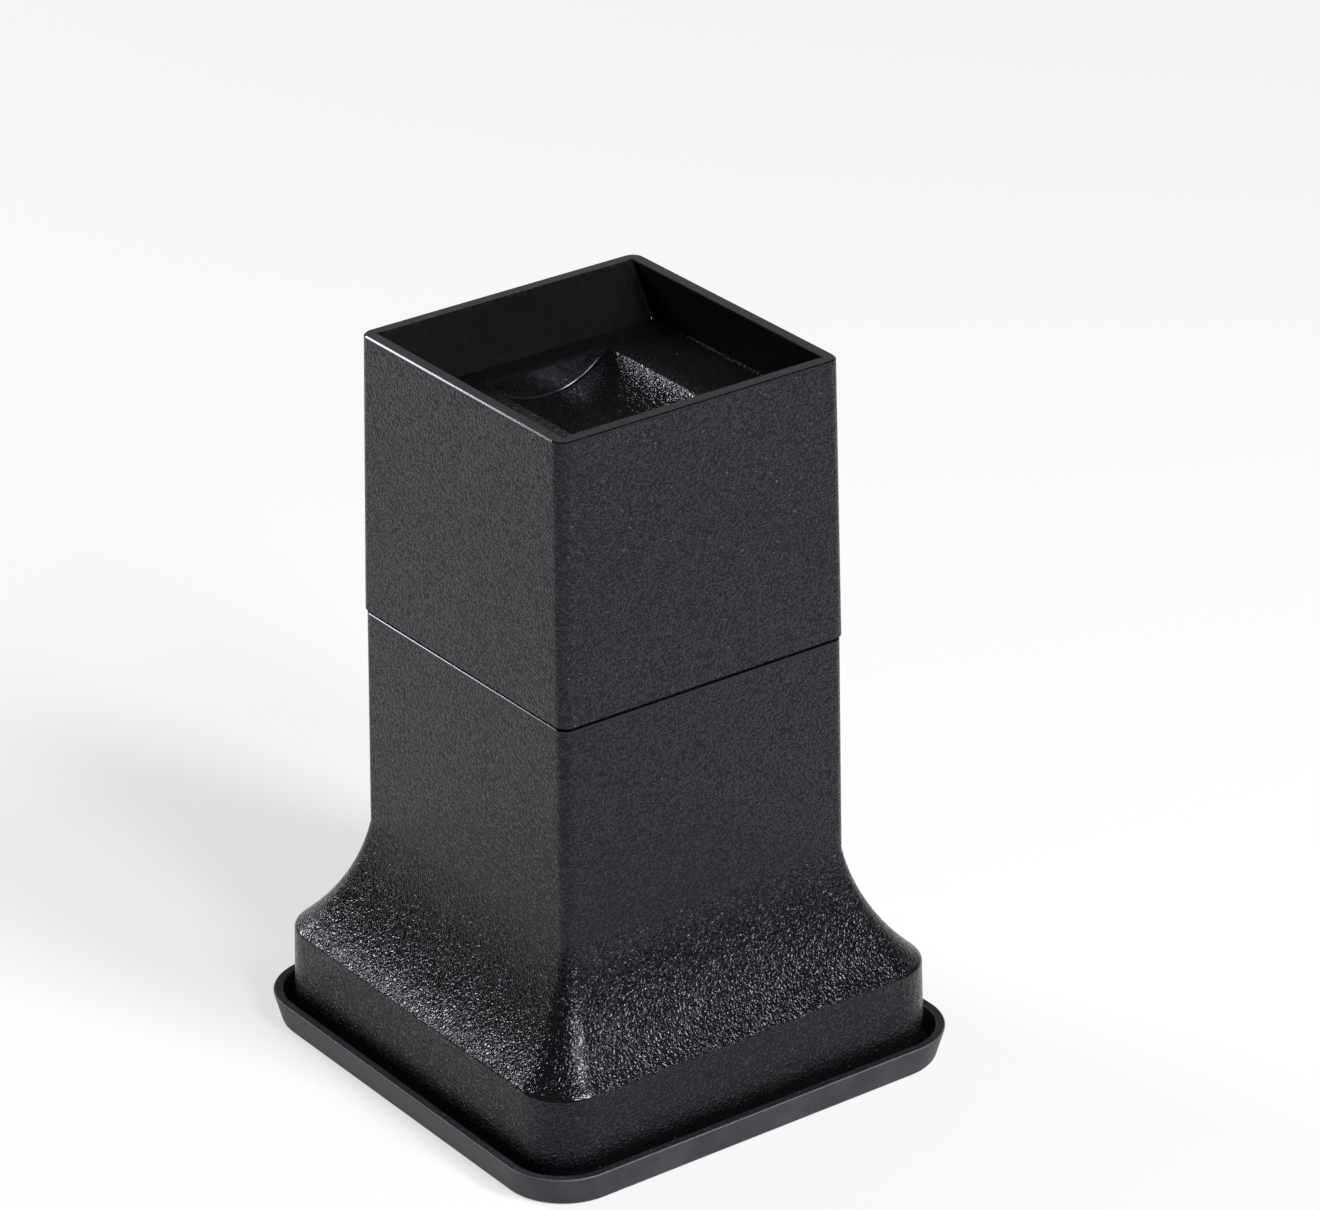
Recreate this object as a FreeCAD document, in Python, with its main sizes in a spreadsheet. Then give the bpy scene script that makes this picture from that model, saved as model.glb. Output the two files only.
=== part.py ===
# Bed riser: a hollow flared base on a non-slip mat, with a box-shaped extension stacked on top.
# Millimetres, +Z up, origin at the middle of the mat's underside.
# +X and +Y are square to the column's faces. The wheel groove in the socket runs along Y.
import FreeCAD
import Part
import Sketcher
import os

doc = FreeCAD.newDocument("BedRiser")

# Driving dimensions
sizes = {
    "rim_width": 89.0,          # outside of the extension at its top rim
    "rim_wall": 3.6,            # rim thickness round the leg socket
    "rim_edge": 0.35,           # easing of the rim's outer edge
    "mouth_edge": 0.2,          # lead-in at the rim's inner edge
    "extension_height": 80.0,   # seam to rim
    "extension_draft": 0.93,    # degrees, wider downwards
    "seam_edge": 1.0,           # easing of the extension's lower edge
    "seam_overhang": 0.35,      # how far the extension stands out past the base, each side
    "base_edge": 0.15,          # easing of the base's upper edge
    "base_height": 121.0,       # skirt foot to seam
    "base_draft": 0.61,         # degrees, wider downwards
    "kink_height": 58.3,        # skirt foot to where the flare starts
    "flare_start": 11.0,        # degrees off vertical where the flare leaves the column
    "flare_reach": 18.5,        # how far the flare runs out, each side
    "crease_height": 25.5,      # skirt foot to the crease under the flare
    "crease_edge": 1.0,         # rounding of the crease
    "skirt_draft": 1.17,        # degrees, wider downwards
    "column_corner": 3.2,       # upright corner radius of the column
    "skirt_corner": 13.5,       # upright corner radius of the skirt
    "wall": 3.0,                # moulded wall
    "inner_corner": 1.0,        # corner radius inside the column and the socket
    "seat_floor": 3.0,          # socket floor thickness
    "socket_depth": 14.0,       # rim to socket floor
    "groove_chord": 40.2,       # wheel groove across X, at the socket floor
    "groove_length": 48.0,      # wheel groove along Y
    "groove_depth": 8.9,        # wheel groove below the socket floor
    "groove_ledge": 7.7,        # floor left between the groove's end and the sloping wall
    "groove_fillet": 0.8,       # inside rounding at the groove's ends
    "groove_chamfer": 0.7,      # chamfer along the top of the groove's end faces
    "rib_pitch": 20.0,          # spacing of the extension's ribs below its socket floor
    "rib_thickness": 2.2,
    "cross_rib": 3.0,           # thickness of the two crossed ribs in the base
    "nest_gap": 2.0,            # rib ends of the extension to the base's socket floor
    "nest_clearance": 0.5,      # rib ends of the extension to the base's socket walls
    "mat_height": 8.8,
    "mat_floor": 3.0,           # mat thickness under the skirt
    "mat_wall": 2.6,            # thickness of the mat's upturned rim
    "mat_gap": 1.7,             # skirt foot to the mat's rim
    "mat_lean": 1.75,           # how far the mat's rim leans out over its height
    "mat_edge": 0.5,            # rounding of the mat's rim
    "mat_foot_edge": 1.2,       # rounding under the mat
}
rib_places = (-1.5, -0.5, 0.5, 1.5)   # ribs of the extension each way, in pitches from the middle
cross_places = (0,)                   # ribs of the base each way
flare_steps = 6
inner_flare_steps = 2
corner_ease = 1.0001    # corner arcs are this much flatter than tangent, so lofts pair arc with arc
flat_tolerance = 0.01   # an edge that strays less than this is flat

sheet = doc.addObject("Spreadsheet::Sheet", "Sizes")
for row, (alias, number) in enumerate(sizes.items(), start=1):
    sheet.set(f"A{row}", alias)
    sheet.set(f"B{row}", str(number))
    sheet.setAlias(f"B{row}", alias)
doc.recompute()

# Dimensions that follow from the driving ones
worked = doc.addObject("App::VarSet", "Worked")


def work_out(name, expression):
    worked.addProperty("App::PropertyFloat", name)
    worked.setExpression(name, expression)
    worked.recompute()


work_out("extension_spread", "Sizes.extension_height * tan(Sizes.extension_draft * 1deg)")
work_out("extension_foot", "Sizes.rim_width + 2 * extension_spread")
work_out("base_top", "extension_foot - 2 * Sizes.seam_overhang")
work_out("column_height", "Sizes.base_height - Sizes.kink_height")
work_out("kink_width", "base_top + 2 * column_height * tan(Sizes.base_draft * 1deg)")
work_out("crease_width", "kink_width + 2 * Sizes.flare_reach")
work_out("skirt_width", "crease_width + 2 * Sizes.crease_height * tan(Sizes.skirt_draft * 1deg)")
work_out("flare_fall", "Sizes.kink_height - Sizes.crease_height")
work_out("flare_turn", "2 * (atan(Sizes.flare_reach / flare_fall) / 1deg - Sizes.flare_start)")
work_out("flare_chord", "sqrt(Sizes.flare_reach ^ 2 + flare_fall ^ 2)")
work_out("flare_radius", "flare_chord / (2 * sin(flare_turn / 2 * 1deg))")
work_out("socket_width", "Sizes.rim_width - 2 * Sizes.rim_wall")
work_out("seat_width", "Sizes.groove_length + 2 * Sizes.groove_ledge")
work_out("groove_radius", "Sizes.groove_chord ^ 2 / (8 * Sizes.groove_depth) + Sizes.groove_depth / 2")
work_out("nest_depth", "Sizes.socket_depth - Sizes.nest_gap")
work_out("nest_width", "socket_width - 2 * Sizes.nest_clearance")
work_out("funnel", "(socket_width - seat_width) / Sizes.socket_depth")
work_out("nest_seat", "seat_width + funnel * Sizes.nest_gap - 2 * Sizes.nest_clearance")
work_out("mat_inner", "skirt_width + 2 * Sizes.mat_gap")
work_out("mat_slope", "Sizes.mat_lean / Sizes.mat_height")
work_out("mat_foot", "mat_inner + 2 * (Sizes.mat_wall - mat_slope * Sizes.mat_floor)")
work_out("mat_corner", "Sizes.skirt_corner + Sizes.mat_gap")


def origin_plane(body, role):
    return next(feature for feature in body.Origin.OriginFeatures if feature.Role == role)


# A rectangle with rounded corners, centred on the body's axis, at a height.
# Lines and arcs take turns: bottom, right, top and left lines are 0, 2, 4 and 6.
def add_outline(body, name, length, width, corner, height):
    sketch = body.newObject("Sketcher::SketchObject", name)
    sketch.AttachmentSupport = (origin_plane(body, "XY_Plane"), [""])
    sketch.MapMode = "FlatFace"
    sketch.setExpression("AttachmentOffset.Base.z", height)
    x, y, r = [float(sheet.evalExpression(text)) for text in (f"({length}) / 2", f"({width}) / 2", corner)]
    corners = [FreeCAD.Vector(*place) for place in ((x, -y), (x, y), (-x, y), (-x, -y))]
    for index in range(4):
        before, here, after = corners[index - 1], corners[index], corners[(index + 1) % 4]
        along = (here - before).normalize() * r
        onward = (after - here).normalize() * r
        middle = here + (onward - along) * (1 - 0.5 ** 0.5)
        sketch.addGeometry(Part.LineSegment(before + along, here - along))
        sketch.addGeometry(Part.Arc(here - along, middle, here + onward))
    first, last, x_axis, y_axis = 1, 2, -1, -2
    for edge in range(8):
        sketch.addConstraint(Sketcher.Constraint("Coincident", edge, last, (edge + 1) % 8, first))
    for arc in (3, 5, 7):
        sketch.addConstraint(Sketcher.Constraint("Equal", 1, arc))
    for line, axis in ((0, y_axis), (4, y_axis), (2, x_axis), (6, x_axis)):
        sketch.addConstraint(Sketcher.Constraint("Symmetric", line, first, line, last, axis))
    sketch.addConstraint(Sketcher.Constraint("Symmetric", 0, first, 4, last, x_axis))
    sketch.addConstraint(Sketcher.Constraint("Symmetric", 2, first, 6, last, y_axis))
    bind(sketch, Sketcher.Constraint("DistanceX", 6, first, 2, first, 2 * x), "length", length)
    bind(sketch, Sketcher.Constraint("DistanceY", 0, first, 4, first, 2 * y), "width", width)
    bind(sketch, Sketcher.Constraint("DistanceX", 0, first, 0, last, 2 * (x - r)), "flat_length",
         f"{length} - 2 * ({corner})")
    bind(sketch, Sketcher.Constraint("DistanceY", 2, first, 2, last, 2 * (y - r)), "flat_width",
         f"{width} - 2 * ({corner})")
    bind(sketch, Sketcher.Constraint("Radius", 1, r), "corner", f"{corner_ease} * ({corner})")
    return sketch


def bind(sketch, constraint, name, expression):
    index = sketch.addConstraint(constraint)
    sketch.renameConstraint(index, name)
    sketch.setExpression(f"Constraints.{name}", expression)


def add_square(body, name, width, corner, height):
    return add_outline(body, name, width, width, corner, height)


def add_loft(body, name, outlines, ruled=True, cut=False):
    loft = body.newObject("PartDesign::SubtractiveLoft" if cut else "PartDesign::AdditiveLoft", name)
    loft.Profile = outlines[0]
    loft.Sections = outlines[1:]
    loft.Ruled = ruled
    doc.recompute()
    return loft


# Names of a feature's edges that lie flat at a height
def edges_at(feature, height):
    level = float(sheet.evalExpression(height))
    names = []
    for index, edge in enumerate(feature.Shape.Edges, start=1):
        box = edge.BoundBox
        if max(abs(box.ZMin - level), abs(box.ZMax - level)) < flat_tolerance:
            names.append(f"Edge{index}")
    return names


def add_fillet(body, name, height, radius):
    base = body.Tip
    fillet = body.newObject("PartDesign::Fillet", name)
    fillet.Base = (base, edges_at(base, height))
    fillet.setExpression("Radius", radius)
    doc.recompute()
    return fillet


def add_boolean(kind, name, base, tool, height="0"):
    result = doc.addObject(kind, name)
    result.Base = base
    result.Tool = tool
    result.setExpression("Placement.Base.z", height)
    doc.recompute()
    return result


def add_fuse(name, shapes):
    result = doc.addObject("Part::MultiFuse", name)
    result.Shapes = shapes
    doc.recompute()
    return result


# A cylinder along Y that dips below the socket floor: the wheel groove, or the wall under it
def add_groove(name, radius, length, centre):
    body = doc.addObject("PartDesign::Body", name)
    sketch = body.newObject("Sketcher::SketchObject", name + "Circle")
    sketch.AttachmentSupport = (origin_plane(body, "XZ_Plane"), [""])
    sketch.MapMode = "FlatFace"
    r = float(sheet.evalExpression(radius))
    z = float(sheet.evalExpression(centre))
    sketch.addGeometry(Part.Circle(FreeCAD.Vector(0, z, 0), FreeCAD.Vector(0, 0, 1), r))
    sketch.addConstraint(Sketcher.Constraint("PointOnObject", 0, 3, -2))
    bind(sketch, Sketcher.Constraint("DistanceY", -1, 1, 0, 3, z), "centre", centre)
    bind(sketch, Sketcher.Constraint("Radius", 0, r), "radius", radius)
    pad = body.newObject("PartDesign::Pad", name + "Pad")
    pad.Profile = sketch
    pad.Midplane = True
    pad.setExpression("Length", length)
    doc.recompute()
    return body


# The leg socket below a rim: two upright walls, two sloping ones, and the wheel groove in its floor.
# Returns the hollow itself and the moulded wall that has to stay round it.
def add_socket(prefix, rim):
    floor = f"{rim} - Sizes.socket_depth"
    centre = f"{floor} + Worked.groove_radius - Sizes.groove_depth"
    corner = "Sizes.inner_corner"

    hollow = doc.addObject("PartDesign::Body", prefix + "Hollow")
    seat = add_outline(hollow, prefix + "Seat", "Worked.socket_width", "Worked.seat_width", corner, floor)
    mouth = add_square(hollow, prefix + "Mouth", "Worked.socket_width", corner, f"{rim} - Sizes.mouth_edge")
    lead = add_square(hollow, prefix + "Lead", "Worked.socket_width + 2 * Sizes.mouth_edge", corner, rim)
    add_loft(hollow, prefix + "Funnel", [seat, mouth])
    add_loft(hollow, prefix + "LeadIn", [mouth, lead])

    groove = add_groove(prefix + "Groove", "Worked.groove_radius", "Sizes.groove_length", centre)
    pad = groove.Tip
    circles = [f"Edge{index}" for index, edge in enumerate(pad.Shape.Edges, start=1)
               if edge.BoundBox.YLength < flat_tolerance]
    ends = groove.newObject("PartDesign::Fillet", prefix + "GrooveEnds")
    ends.Base = (pad, circles)
    ends.setExpression("Radius", "Sizes.groove_fillet")
    doc.recompute()

    chamfer = doc.addObject("PartDesign::Body", prefix + "Chamfer")
    upper = add_outline(chamfer, prefix + "ChamferTop", "Sizes.groove_chord - 2 * Sizes.groove_chamfer",
                        "Sizes.groove_length + 4 * Sizes.groove_chamfer", "Sizes.groove_chamfer / 2",
                        f"{floor} + Sizes.groove_chamfer")
    lower = add_outline(chamfer, prefix + "ChamferFoot", "Sizes.groove_chord - 6 * Sizes.groove_chamfer",
                        "Sizes.groove_length", "Sizes.groove_chamfer / 2", f"{floor} - Sizes.groove_chamfer")
    add_loft(chamfer, prefix + "ChamferLoft", [lower, upper])

    jacket = doc.addObject("PartDesign::Body", prefix + "Jacket")
    outer = "Worked.socket_width + 2 * Sizes.seat_floor"
    under = add_outline(jacket, prefix + "Under", outer, "Worked.seat_width + Sizes.seat_floor", corner,
                        f"{floor} - Sizes.seat_floor")
    over = add_square(jacket, prefix + "Over", outer, corner, f"{rim} + Sizes.seat_floor")
    add_loft(jacket, prefix + "JacketLoft", [under, over])
    trough = add_groove(prefix + "Trough", "Worked.groove_radius + Sizes.seat_floor",
                        "Sizes.groove_length + 2 * Sizes.seat_floor", centre)
    return add_fuse(prefix + "Socket", [hollow, groove, chamfer]), [jacket, trough]


# Upright ribs both ways across a moulding
def add_ribs(prefix, places, thickness, span, foot, top):
    ribs = []
    for across in (False, True):
        for index, pitches in enumerate(places, start=1):
            rib = doc.addObject("Part::Box", f"{prefix}Rib{'Y' if across else 'X'}{index}")
            place = f"{pitches} * Sizes.rib_pitch - {thickness} / 2"
            rib.setExpression("Length", thickness if across else span)
            rib.setExpression("Width", span if across else thickness)
            rib.setExpression("Height", f"{top} - ({foot})")
            rib.setExpression("Placement.Base.x", place if across else f"-{span} / 2")
            rib.setExpression("Placement.Base.y", f"-{span} / 2" if across else place)
            rib.setExpression("Placement.Base.z", foot)
            ribs.append(rib)
    return add_fuse(prefix + "Ribs", ribs)


# A stack of rounded squares, given as width, corner radius and height, joined by lofts.
# Levels in the range smooth, if given, are joined by one curved loft, and the rest by straight ones.
def add_form(name, levels, smooth=None):
    body = doc.addObject("PartDesign::Body", name)
    outlines = [add_square(body, f"{name}Level{index}", *level) for index, level in enumerate(levels)]
    first, last = smooth or (len(levels) - 1, len(levels) - 1)
    add_loft(body, name + "Lower", outlines[:first + 1])
    if smooth:
        add_loft(body, name + "Curve", outlines[first:last + 1], ruled=False)
        add_loft(body, name + "Upper", outlines[last:])
    return body


# Levels of the flare from the crease up to the kink, drawn in by an inset
def flare_levels(steps, inset, kink_corner, crease_corner):
    levels = []
    for step in range(steps, -1, -1):
        angle = f"((Sizes.flare_start + {step / steps} * Worked.flare_turn) * 1deg)"
        run = f"Worked.flare_radius * (cos(Sizes.flare_start * 1deg) - cos{angle})"
        fall = f"Worked.flare_radius * (sin{angle} - sin(Sizes.flare_start * 1deg))"
        width = f"Worked.kink_width + 2 * {run} - 2 * {inset} / cos{angle}"
        corner = f"{kink_corner} + ({crease_corner} - {kink_corner}) * {run} / Sizes.flare_reach"
        levels.append((width, corner, f"Sizes.kink_height - {fall}"))
    return levels


def make_base():
    corner, skirt_corner = "Sizes.column_corner", "Sizes.skirt_corner"
    outer_levels = [("Worked.skirt_width", skirt_corner, "0")]
    outer_levels += flare_levels(flare_steps, "0", corner, skirt_corner)
    outer_levels.append(("Worked.base_top", corner, "Sizes.base_height - Sizes.base_edge"))
    outer_levels.append(("Worked.base_top - 2 * Sizes.base_edge", corner, "Sizes.base_height"))
    outside = add_form("BaseOutside", outer_levels, smooth=(1, flare_steps + 1))
    add_fillet(outside, "BaseCrease", "Sizes.crease_height", "Sizes.crease_edge")

    corner, skirt_corner = "Sizes.inner_corner", "(Sizes.skirt_corner - Sizes.wall)"
    inner_levels = [("Worked.skirt_width - 2 * Sizes.wall", skirt_corner, "0")]
    inner_levels += flare_levels(inner_flare_steps, "Sizes.wall", corner, skirt_corner)
    inner_levels.append(("Worked.base_top - 2 * Sizes.wall", corner, "Sizes.base_height - Sizes.wall"))
    inside = add_form("BaseInside", inner_levels)

    socket, jacket = add_socket("Base", "Sizes.base_height")
    ribs = add_ribs("Base", cross_places, "Sizes.cross_rib", "Worked.skirt_width", "0", "Sizes.base_height")
    core = add_boolean("Part::Cut", "BaseCore", inside, add_fuse("BaseKept", [ribs] + jacket))
    shell = add_boolean("Part::Cut", "BaseShell", outside, core)
    base = add_boolean("Part::Cut", "Base", shell, socket, height="Sizes.mat_floor")
    base.Label = "flared_base"
    return base


def make_extension():
    corner = "Sizes.column_corner"
    outside = add_form("ExtensionOutside", [
        ("Worked.extension_foot - 2 * Sizes.seam_edge", corner, "0"),
        ("Worked.extension_foot", corner, "Sizes.seam_edge"),
        ("Sizes.rim_width", corner, "Sizes.extension_height - Sizes.rim_edge"),
        ("Sizes.rim_width - 2 * Sizes.rim_edge", corner, "Sizes.extension_height"),
    ])
    corner = "Sizes.inner_corner"
    inside = add_form("ExtensionInside", [
        ("Worked.extension_foot - 2 * Sizes.wall", corner, "0"),
        ("Sizes.rim_width - 2 * Sizes.wall", corner, "Sizes.extension_height - Sizes.wall"),
    ])
    socket, jacket = add_socket("Extension", "Sizes.extension_height")
    ribs = add_ribs("Extension", rib_places, "Sizes.rib_thickness", "Worked.extension_foot",
                    "-Worked.nest_depth", "Sizes.extension_height")
    core = add_boolean("Part::Cut", "ExtensionCore", inside, add_fuse("ExtensionKept", [ribs] + jacket))
    shell = add_boolean("Part::Cut", "ExtensionShell", outside, core)

    # The ribs run on below the seam and fit the socket of the base
    nest = doc.addObject("PartDesign::Body", "Nest")
    nest_foot = add_outline(nest, "NestFoot", "Worked.nest_width", "Worked.nest_seat", corner,
                            "-Worked.nest_depth")
    nest_top = add_square(nest, "NestTop", "Worked.nest_width", corner, "0")
    add_loft(nest, "NestLoft", [nest_foot, nest_top])
    rib_ends = add_boolean("Part::Common", "RibEnds", ribs, nest)
    stacked = add_fuse("ExtensionStacked", [shell, rib_ends])

    seam_height = "Sizes.mat_floor + Sizes.base_height"
    extension = add_boolean("Part::Cut", "Extension", stacked, socket, height=seam_height)
    extension.Label = "riser_extension"
    return extension


def make_mat():
    mat = doc.addObject("PartDesign::Body", "Mat")
    outer_corner = "Worked.mat_corner + Sizes.mat_wall"
    foot = add_square(mat, "MatFoot", "Worked.mat_foot", outer_corner, "0")
    rim = add_square(mat, "MatRim", "Worked.mat_foot + 2 * Sizes.mat_lean", outer_corner, "Sizes.mat_height")
    add_loft(mat, "MatOutside", [foot, rim])
    floor = add_square(mat, "MatFloor", "Worked.mat_inner", "Worked.mat_corner", "Sizes.mat_floor")
    wall_height = "(Sizes.mat_height - Sizes.mat_floor)"
    mouth = add_square(mat, "MatMouth", f"Worked.mat_inner + 2 * Worked.mat_slope * {wall_height}",
                       "Worked.mat_corner", "Sizes.mat_height")
    add_loft(mat, "MatInside", [floor, mouth], cut=True)
    add_fillet(mat, "MatRimEdge", "Sizes.mat_height", "Sizes.mat_edge")
    add_fillet(mat, "MatFootEdge", "0", "Sizes.mat_foot_edge")
    mat.Label = "non_slip_mat"
    return mat


sub_parts = [make_mat(), make_base(), make_extension()]
doc.recompute()

for item in doc.Objects:
    if "Invalid" in item.State or "Error" in item.State:
        raise RuntimeError(f"{item.Label} failed: {item.getStatusString()}")

for part in sub_parts:
    shape = part.Shape
    if shape.isNull() or not shape.isValid() or len(shape.Solids) != 1:
        raise RuntimeError(f"{part.Label} is not one valid solid")

os.makedirs("parts", exist_ok=True)
for part in sub_parts:
    part.Shape.exportStep(f"parts/{part.Label}.step")
    box = part.Shape.BoundBox
    print(f"{part.Label}: {part.Shape.Volume / 1000:.1f} cm3, {box.XLength:.2f} x {box.YLength:.2f}"
          f" x {box.ZLength:.2f} mm, foot at {box.ZMin:.2f}")
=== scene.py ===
import bpy
import bmesh
import math
from mathutils import Euler, Matrix, Vector


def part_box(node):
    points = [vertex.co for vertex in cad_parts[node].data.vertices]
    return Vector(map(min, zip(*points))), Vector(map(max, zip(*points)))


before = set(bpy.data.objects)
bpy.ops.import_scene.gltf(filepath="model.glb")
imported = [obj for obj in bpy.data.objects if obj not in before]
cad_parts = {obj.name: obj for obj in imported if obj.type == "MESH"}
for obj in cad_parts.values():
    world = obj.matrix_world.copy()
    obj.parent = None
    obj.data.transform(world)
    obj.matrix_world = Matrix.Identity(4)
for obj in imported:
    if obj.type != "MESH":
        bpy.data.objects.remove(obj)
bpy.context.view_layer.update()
print("frame loaded:", ", ".join(sorted(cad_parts)))


class Signal:  # a node output that can be used in sums
    def __init__(self, tree, socket=None):
        self.tree = tree
        self.socket = socket

    def node(self, kind, settings=None, sockets=None, output=0):
        made = self.tree.nodes.new(kind)
        for name, value in (settings or {}).items():
            setattr(made, name, value)
        for name, value in (sockets or {}).items():
            if isinstance(value, Signal):
                self.tree.links.new(value.socket, made.inputs[name])
            else:
                made.inputs[name].default_value = value
        return Signal(self.tree, made.outputs[output]) if made.outputs else made

    def sum(self, operation, first, second=0.0):
        return self.node("ShaderNodeMath", {"operation": operation}, {0: first, 1: second})

    def __add__(self, other):
        return self.sum("ADD", self, other)

    def __radd__(self, other):
        return self.sum("ADD", other, self)

    def __sub__(self, other):
        return self.sum("SUBTRACT", self, other)

    def __rsub__(self, other):
        return self.sum("SUBTRACT", other, self)

    def __mul__(self, other):
        return self.sum("MULTIPLY", self, other)

    def __rmul__(self, other):
        return self.sum("MULTIPLY", other, self)

    def __abs__(self):
        return self.sum("ABSOLUTE", self)

    def larger(self, other):
        return self.sum("MAXIMUM", self, other)

    def smaller(self, other):
        return self.sum("MINIMUM", self, other)

    def along(self, axis):  # one axis of a vector
        return self.node("ShaderNodeSeparateXYZ", None, {"Vector": self}, axis)

    def rise(self, low, high):  # 0 below low, 1 above high, smooth between
        sockets = {"Value": self, "From Min": low, "From Max": high}
        return self.node("ShaderNodeMapRange", {"interpolation_type": "SMOOTHSTEP"}, sockets)

    def noise(self, scale, detail=2.0, roughness=0.5, distortion=0.0):
        sockets = {"Vector": self, "Scale": scale, "Detail": detail, "Roughness": roughness,
                   "Distortion": distortion}
        return self.node("ShaderNodeTexNoise", None, sockets)

    def blend(self, first, second):  # colour first where the signal is 0, second where it is 1
        return self.node("ShaderNodeMix", {"data_type": "RGBA"}, {0: self, 6: first, 7: second}, 2)


def newMaterial(name):
    material = bpy.data.materials.new(name)
    material.use_nodes = True
    material.node_tree.nodes.clear()
    return material, Signal(material.node_tree)


def dress(nodeName, material):
    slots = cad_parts[nodeName].data.materials
    slots.clear()
    slots.append(material)


# Moulded plastic with a leather grain, for the extension and the base, with painted shade that darkens the
# grain's crevices and takes their gloss
plastic = {
    "dark": (0.0026, 0.0025, 0.0029, 1.0),
    "pale": (0.0052, 0.0050, 0.0058, 1.0),
    "worn": (0.014, 0.014, 0.015, 1.0),
    "tint": (0.90, 0.85, 1.0, 1.0),        # of reflections
    "ior": 1.5,
    "gloss": 0.40,                         # specular level
    "roughness": 0.11,
    "cloudRoughness": 0.04,                # added in the clouds
    "wrinkles": (930.0, 1.0, 0.35, 0.5),   # scale to the metre, detail, roughness, distortion
    "nubs": (2400.0, 0.0),
    "fine": (5200.0, 2.0),
    "clouds": (38.0, 4.0, 0.6),
    "scuffs": (900.0, 3.0, 0.7),
    "creviceLevel": 0.5,                   # of the wrinkles, where a crevice runs
    "pebbleRange": (0.0, 0.19),            # where each pattern rises from 0 to 1
    "creviceRange": (0.0, 0.55),
    "nubRange": (0.66, 0.80),
    "cloudRange": (0.3, 0.7),
    "scuffRange": (0.45, 0.75),
    "cloudTone": 0.4,                      # shares in the colour
    # painted shade: the pebbles' share in the colour, which leaves the crevices darker
    "creviceShadeTone": 0.6,
    "grainDepth": 0.000090,                # metres
    "nubDepth": 0.000030,
    "fineDepth": 0.000005,
    "creviceShadeShare": 0.50,                  # painted shade: how far the crevices go over to the dark shader with little gloss
    # gloss and roughness of the painted shade
    "shadeGloss": 0.05,
    "creviceRoughness": 0.60,
}


def grainedPlastic(name, wearMask, smoothMask, wallShadeMask=None):
    material, start = newMaterial(name)
    place = start.node("ShaderNodeTexCoord", output="Object")
    x, y, z = place.along("X"), place.along("Y"), place.along("Z")
    up = start.node("ShaderNodeNewGeometry", output="True Normal").along("Z")
    wear = wearMask(x, y, z)
    rough = 1 - smoothMask(x, y, z, up)

    swell = place.noise(*plastic["wrinkles"])
    pebbles = abs(swell - plastic["creviceLevel"]).rise(*plastic["pebbleRange"])  # crevices between
    nubs = place.noise(*plastic["nubs"]).rise(*plastic["nubRange"])
    fine = place.noise(*plastic["fine"])
    cloud = place.noise(*plastic["clouds"]).rise(*plastic["cloudRange"])
    scuffs = place.noise(*plastic["scuffs"]).rise(*plastic["scuffRange"])
    # painted shade: the grain's crevices go dark and lose their gloss
    crevices = (1 - pebbles.rise(*plastic["creviceRange"])) * rough * plastic["creviceShadeShare"]
    # painted shade on the walls that the extra mask picks: dark and with little gloss
    if wallShadeMask:
        crevices = crevices.larger(wallShadeMask(x, y, z))

    # random clouds, plus painted shade that makes the crevices darker than the pebbles
    cloudToneAndCreviceShade = cloud * plastic["cloudTone"] + pebbles * plastic["creviceShadeTone"]
    colour = (wear * scuffs).blend(cloudToneAndCreviceShade.blend(plastic["dark"], plastic["pale"]), plastic["worn"])
    roughness = plastic["roughness"] + cloud * rough * plastic["cloudRoughness"]
    height = (pebbles + nubs * (plastic["nubDepth"] / plastic["grainDepth"])) * rough
    height = height + fine * (plastic["fineDepth"] / plastic["grainDepth"])
    grain = {"Strength": 1.0, "Distance": plastic["grainDepth"], "Height": height}
    bump = start.node("ShaderNodeBump", None, grain)

    shared = {"IOR": plastic["ior"], "Normal": bump, "Specular Tint": plastic["tint"]}
    shiny = {**shared, "Base Color": colour, "Roughness": roughness,
             "Specular IOR Level": plastic["gloss"]}
    # painted shade: dark and with little gloss
    shaded = {**shared, "Base Color": plastic["dark"], "Roughness": plastic["creviceRoughness"],
            "Specular IOR Level": plastic["shadeGloss"]}
    pebble = start.node("ShaderNodeBsdfPrincipled", None, shiny)
    crevice = start.node("ShaderNodeBsdfPrincipled", None, shaded)
    mixed = start.node("ShaderNodeMixShader", None, {0: crevices, 1: pebble, 2: crevice})
    start.node("ShaderNodeOutputMaterial", None, {"Surface": mixed})
    return material


# Extension: worn at its upright corners and its rim, smooth on the walls of the leg socket, with painted
# shade on the socket's upright side walls and their corners
extension = {
    "draft": 0.93,               # degrees, wider downwards
    "topHalf": 0.0445,
    "cornerReach": 0.0030,       # from the corner, where the wear starts
    "cornerWorn": 0.0008,        # and where it is full
    "rimReach": 0.0010,          # below the rim, where it gets worn and smooth
    "rimWorn": 0.0002,
    "rimSmooth": 0.0005,
    "socketHalf": 0.0412,
    "socketBlend": 0.0003,
    "socketDepth": 0.0260,       # to below the wheel groove
    "depthBlend": 0.0010,
    "uprightFacing": (0.2, 0.4),     # how far up a face points, past which it stays grained
    "slopingFacing": (0.75, 0.95),   # the same beyond the groove's ends
    "grooveEnd": 0.0230,         # from the middle to the rounding at the groove's ends
    "grooveBlend": 0.0003,
    "wallShadeRange": (0.0393, 0.0397),   # from the middle, where the upright walls' corners take painted shade
    "wallShadeEnd": (0.0411, 0.0412),
    "wallShadeBlend": 0.0004,
    "socketFloor": 0.1902,       # height of the floor beside the groove
    "floorBlend": 0.0005,
}


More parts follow.
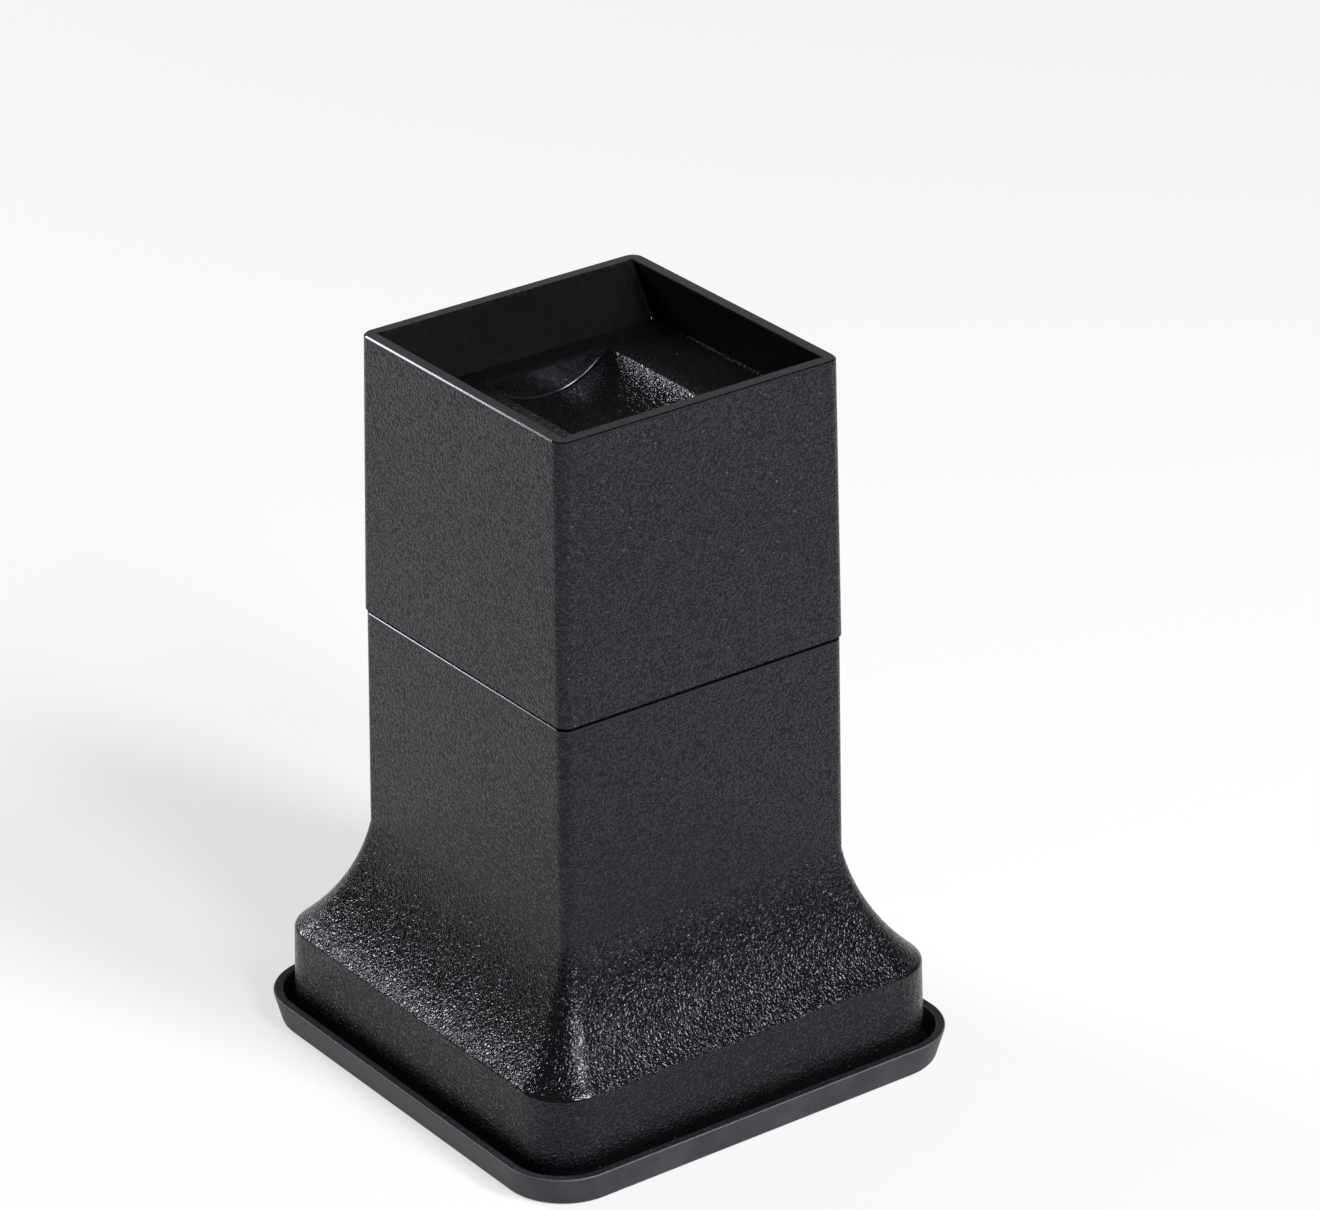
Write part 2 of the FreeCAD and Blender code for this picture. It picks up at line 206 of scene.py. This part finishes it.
def extensionWear(x, y, z):
    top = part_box("riser_extension")[1].z
    half = (top - z) * math.tan(math.radians(extension["draft"])) + extension["topHalf"]
    inset = abs(x).smaller(abs(y)) - half
    corner = inset.rise(-extension["cornerReach"], -extension["cornerWorn"])
    rim = z.rise(top - extension["rimReach"], top - extension["rimWorn"])
    return corner.larger(rim)


def extensionPolish(x, y, z, up):
    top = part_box("riser_extension")[1].z
    half, foot, end = extension["socketHalf"], top - extension["socketDepth"], extension["grooveEnd"]
    inside = 1 - abs(x).larger(abs(y)).rise(half - extension["socketBlend"], half)
    above = z.rise(foot, foot + extension["depthBlend"])
    upright = 1 - up.rise(*extension["uprightFacing"])
    sloping = 1 - up.rise(*extension["slopingFacing"])
    ends = abs(y).rise(end, end + extension["grooveBlend"]) * sloping
    rim = z.rise(top - extension["rimReach"], top - extension["rimSmooth"])
    return (inside * above * upright.larger(ends)).larger(rim)


def extensionWallShade(x, y, z):  # painted shade on the upright walls of the socket, with their corners
    half, floor = extension["socketHalf"], extension["socketFloor"]
    wall = abs(x).rise(*extension["wallShadeRange"]) * (1 - abs(x).rise(*extension["wallShadeEnd"]))
    inside = 1 - abs(y).rise(half, half + extension["wallShadeBlend"])
    return wall * inside * z.rise(floor, floor + extension["floorBlend"])


# Base: worn at the crease under its flare, smooth at its lip and at the corners of the crease
base = {
    "creaseHeight": 0.0285,
    "creaseWorn": (0.0003, 0.0016),    # from the crease, where the wear starts to fade and ends
    "creaseSmooth": (0.0002, 0.0010),
    "creaseCorner": (0.0500, 0.0540),  # from the middle, where the crease turns its corner
    "lipReach": 0.0010,
}


def baseWear(x, y, z):
    return 1 - abs(z - base["creaseHeight"]).rise(*base["creaseWorn"])


def basePolish(x, y, z, up):
    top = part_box("flared_base")[1].z
    lip = z.rise(top - base["lipReach"], top - base["lipReach"] / 2)
    corner = abs(x).smaller(abs(y)).rise(*base["creaseCorner"])
    crease = 1 - abs(z - base["creaseHeight"]).rise(*base["creaseSmooth"])
    return lip.larger(corner * crease)


dress("riser_extension", grainedPlastic("extensionPlastic", extensionWear, extensionPolish, extensionWallShade))
dress("flared_base", grainedPlastic("basePlastic", baseWear, basePolish))
print("plastic mouldings dressed")

# Soft rubber mat: mottled walls, a speckled lip painted darker as shade, and a rubbed line along its edges
mat = {
    "dark": (0.0070, 0.0068, 0.0078, 1.0),
    "pale": (0.0300, 0.0290, 0.0320, 1.0),
    # painted shade: the up-facing lip darker than the walls
    "lip": (0.0045, 0.0045, 0.0050, 1.0),
    "worn": (0.110, 0.106, 0.112, 1.0),
    "tint": (0.90, 0.85, 1.0, 1.0),    # of reflections
    "ior": 1.5,
    "roughness": 0.50,
    "mottleRoughness": 0.08,           # added in the pale mottles
    "fineRoughness": 0.05,             # taken off by the fine pattern
    "lipRoughness": 0.20,              # added on the lip
    "lipReach": 0.0006,                # height of the rounded edges
    "lipFacing": (0.75, 0.95),         # how far up the lip and its edges face
    "edgeFacing": (0.15, 0.45),
    "edgeEnd": (0.80, 0.95),
    "mottles": (110.0, 5.0, 0.65, 0.4),  # scale to the metre, detail, roughness, distortion
    "specks": (1300.0, 2.0, 0.6),
    "fine": (2600.0, 3.0),
    "mottleRange": (0.3, 0.7),         # where each pattern rises from 0 to 1
    "speckRange": (0.56, 0.72),
    "edgeWear": 0.6,
    "speckWear": 0.4,
    "speckHeight": 2.0,                # times the fine pattern's
    "fineDepth": 0.00002,              # metres
}


def matRubber():
    material, start = newMaterial("matRubber")
    place = start.node("ShaderNodeTexCoord", output="Object")
    up = start.node("ShaderNodeNewGeometry", output="True Normal").along("Z")
    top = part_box("non_slip_mat")[1].z
    high = place.along("Z").rise(top - mat["lipReach"], top - mat["lipReach"] / 2)
    lip = up.rise(*mat["lipFacing"]) * high
    edge = up.rise(*mat["edgeFacing"]) * (1 - up.rise(*mat["edgeEnd"])) * high
    mottle = place.noise(*mat["mottles"]).rise(*mat["mottleRange"])
    specks = place.noise(*mat["specks"]).rise(*mat["speckRange"])
    fine = place.noise(*mat["fine"])

    # painted shade: the lip darker than the mottled walls
    colour = lip.blend(mottle.blend(mat["dark"], mat["pale"]), mat["lip"])
    rubbed = edge * mat["edgeWear"] + (lip + edge) * specks * mat["speckWear"]
    colour = rubbed.blend(colour, mat["worn"])
    roughness = mat["roughness"] + mottle * mat["mottleRoughness"] - fine * mat["fineRoughness"]
    roughness = roughness + lip * mat["lipRoughness"]
    height = fine + specks * lip * mat["speckHeight"]
    texture = {"Strength": 1.0, "Distance": mat["fineDepth"], "Height": height}
    bump = start.node("ShaderNodeBump", None, texture)
    rubber = {"Base Color": colour, "Roughness": roughness, "IOR": mat["ior"], "Normal": bump,
              "Specular Tint": mat["tint"]}
    shader = start.node("ShaderNodeBsdfPrincipled", None, rubber)
    start.node("ShaderNodeOutputMaterial", None, {"Surface": shader})
    return material


dress("non_slip_mat", matRubber())
print("mat dressed")

# Pale floor that shows nearly white and keeps the shadow
floorSettings = {
    "size": 12.0,
    "colour": (0.86, 0.86, 0.86, 1.0),
    "whiteShare": 0.60,          # of plain white mixed in for the camera and for reflections
}


def makeFloor():
    mesh = bpy.data.meshes.new("floor")
    shape = bmesh.new()
    bmesh.ops.create_grid(shape, x_segments=1, y_segments=1, size=floorSettings["size"])
    shape.to_mesh(mesh)
    shape.free()
    floor = bpy.data.objects.new("floor", mesh)
    bpy.context.scene.collection.objects.link(floor)
    material, start = newMaterial("paleFloor")
    seen = start.node("ShaderNodeLightPath", output="Is Camera Ray")
    for ray in ("Is Glossy Ray", "Is Transmission Ray"):
        seen = seen.larger(start.node("ShaderNodeLightPath", output=ray))
    share = seen * floorSettings["whiteShare"]
    paint = start.node("ShaderNodeBsdfDiffuse", None, {"Color": floorSettings["colour"]})
    white = start.node("ShaderNodeEmission", None, {"Strength": 1.0})
    mixed = start.node("ShaderNodeMixShader", None, {0: share, 1: paint, 2: white})
    start.node("ShaderNodeOutputMaterial", None, {"Surface": mixed})
    mesh.materials.append(material)


makeFloor()

# Soft studio light
studio = {
    "strength": 0.10,            # of the dim room
    "glow": 1.00,                # of the lit backdrop behind the object
    "glowToward": (0.593, 0.805, 0.0),
    "glowRange": (0.35, 0.95),   # how squarely a ray heads there, where the glow starts and is full
    "glowHeight": (0.12, 0.60),  # where it fades out upwards
    "aim": (0.0, 0.0, 0.09),
    "distance": 2.2,             # of each softbox from the aim
}
softboxes = {
    "behind": {"toward": (-0.36, 0.81, 0.45), "wide": 0.60, "tall": 0.50, "power": 26.0},
    "front": {"toward": (0.22, -0.72, 0.66), "wide": 0.42, "tall": 1.00, "power": 43.0},
    "corner": {"toward": (-0.05, -0.78, 0.62), "wide": 0.34, "tall": 1.00, "power": 21.0},
}


def makeLight():
    world = bpy.data.worlds.new("studio")
    bpy.context.scene.world = world
    world.use_nodes = True
    world.node_tree.nodes.clear()
    start = Signal(world.node_tree)
    ray = start.node("ShaderNodeTexCoord", output="Generated")
    behind = ray.node("ShaderNodeVectorMath", {"operation": "DOT_PRODUCT"},
                      {0: ray, 1: studio["glowToward"]}, "Value")
    glow = behind.rise(*studio["glowRange"]) * (1 - ray.along("Z").rise(*studio["glowHeight"]))
    strength = studio["strength"] + glow * studio["glow"]
    sky = start.node("ShaderNodeBackground", None, {"Strength": strength})
    start.node("ShaderNodeOutputWorld", None, {"Surface": sky})
    for name, box in softboxes.items():
        lamp = bpy.data.lights.new(name, "AREA")
        lamp.shape = "RECTANGLE"
        lamp.size = box["wide"]
        lamp.size_y = box["tall"]
        lamp.energy = box["power"]
        light = bpy.data.objects.new(name, lamp)
        away = Vector(box["toward"]).normalized()
        light.location = Vector(studio["aim"]) + away * studio["distance"]
        light.rotation_euler = away.to_track_quat("Z", "Y").to_euler()
        bpy.context.scene.collection.objects.link(light)


makeLight()
print("floor and light ready")

# Camera at the photograph's viewing angle
view = {
    "azimuth": -36.34,           # degrees, to the left of the front
    "elevation": 25.99,
    "roll": 0.47,
    "aim": (0.01229, -0.00904, 0.12936),
    "distance": 1.5563,
    "lens": 161.25,
    "clipEnd": 50.0,
}


def makeCamera():
    data = bpy.data.cameras.new("camera")
    data.lens = view["lens"]
    data.clip_end = view["clipEnd"]
    camera = bpy.data.objects.new("camera", data)
    tilt = Euler((math.radians(90.0 - view["elevation"]), 0.0, math.radians(view["azimuth"])))
    turn = tilt.to_matrix() @ Matrix.Rotation(math.radians(-view["roll"]), 3, "Z")
    camera.location = Vector(view["aim"]) + turn.col[2] * view["distance"]
    camera.rotation_euler = turn.to_euler()
    bpy.context.scene.collection.objects.link(camera)
    bpy.context.scene.camera = camera


makeCamera()
bpy.context.scene.view_settings.view_transform = "Standard"
bpy.context.scene.cycles.denoising_prefilter = "NONE"  # keeps the fine grain
print("camera ready")
